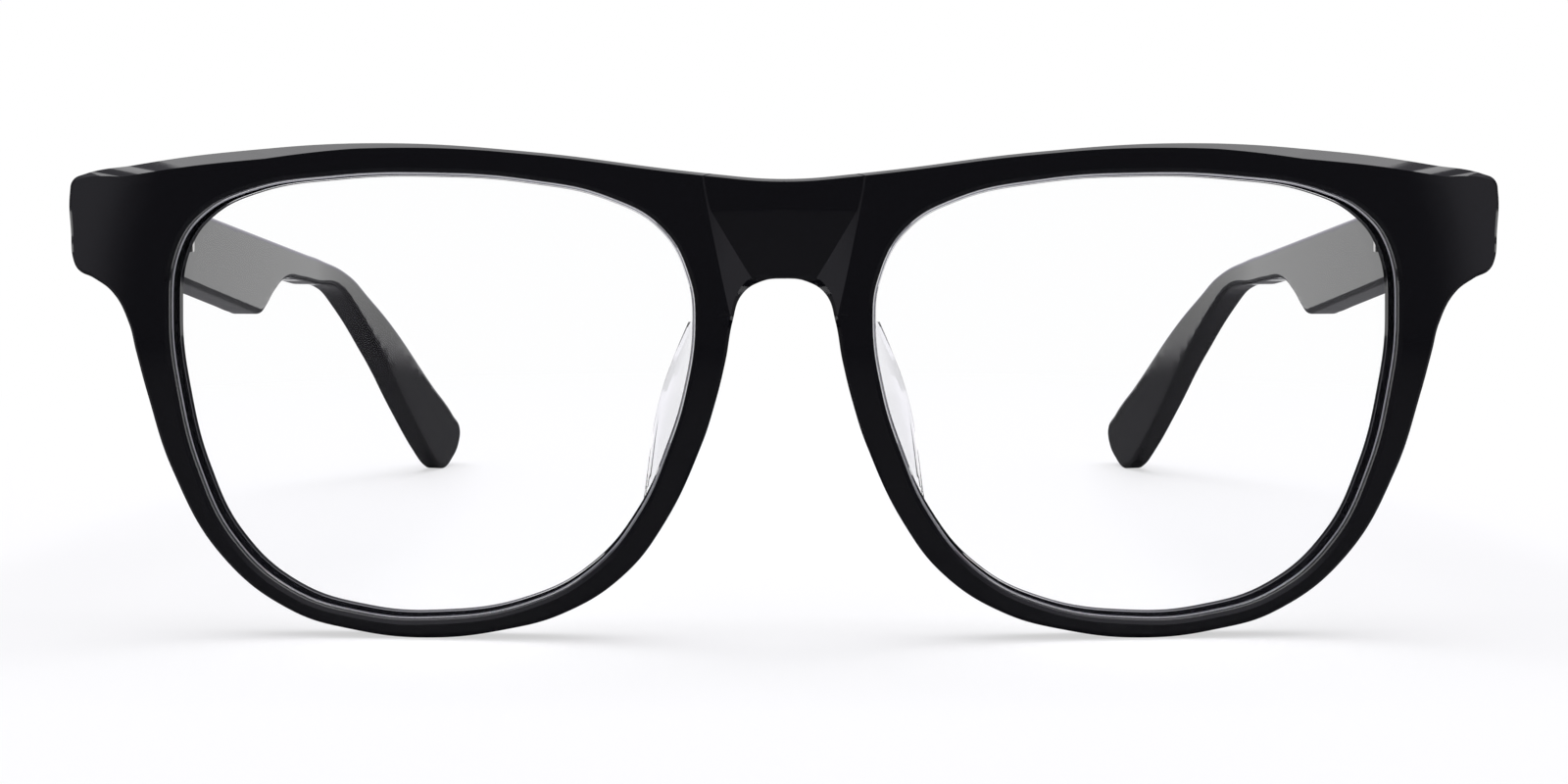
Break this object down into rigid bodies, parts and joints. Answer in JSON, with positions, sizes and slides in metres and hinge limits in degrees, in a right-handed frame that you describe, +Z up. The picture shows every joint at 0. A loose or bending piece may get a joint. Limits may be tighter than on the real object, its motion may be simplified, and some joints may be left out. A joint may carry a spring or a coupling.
{
  "type": "eyeglasses",
  "caption": "Full-rim acetate eyeglasses with clear lenses, glued nose pads, folding temples on barrel hinges and drop ends behind the ear.",
  "frame": {"origin": "on the surface that the open pair stands on, under the middle of its box", "axes": "+X across the face towards the wearer's left, +Y from the front to the temple tips, +Z up"},
  "size_m": [0.1456, 0.1472, 0.0495],
  "materials": {
    "black_acetate": "polished",
    "clear_lens": "polished",
    "clear_acetate": "polished",
    "hinge_steel": "satin",
    "core_steel": "drawn wire"
  },
  "bodies": {
    "front": {"front_frame": "black_acetate", "lens_right": "clear_lens", "lens_left": "clear_lens", "nose_pad_right": "clear_acetate", "nose_pad_left": "clear_acetate", "front_hinge_leaf_right": "hinge_steel", "front_hinge_leaf_left": "hinge_steel", "hinge_screw_right": "hinge_steel", "hinge_screw_left": "hinge_steel"},
    "temple_right": {"temple_right": "black_acetate", "temple_core_right": "core_steel", "temple_hinge_leaf_right": "hinge_steel"},
    "temple_left": {"temple_left": "black_acetate", "temple_core_left": "core_steel", "temple_hinge_leaf_left": "hinge_steel"}
  },
  "joints": [
    {"name": "fold_right", "type": "hinge", "parent": "front", "child": "temple_right", "pos_m": [-0.06499, -0.05911, 0.0412], "axis": [0, 0, -1], "range_deg": [0, 77]},
    {"name": "fold_left", "type": "hinge", "parent": "front", "child": "temple_left", "pos_m": [0.06499, -0.05911, 0.0412], "axis": [0, 0, 1], "range_deg": [0, 85]}
  ]
}
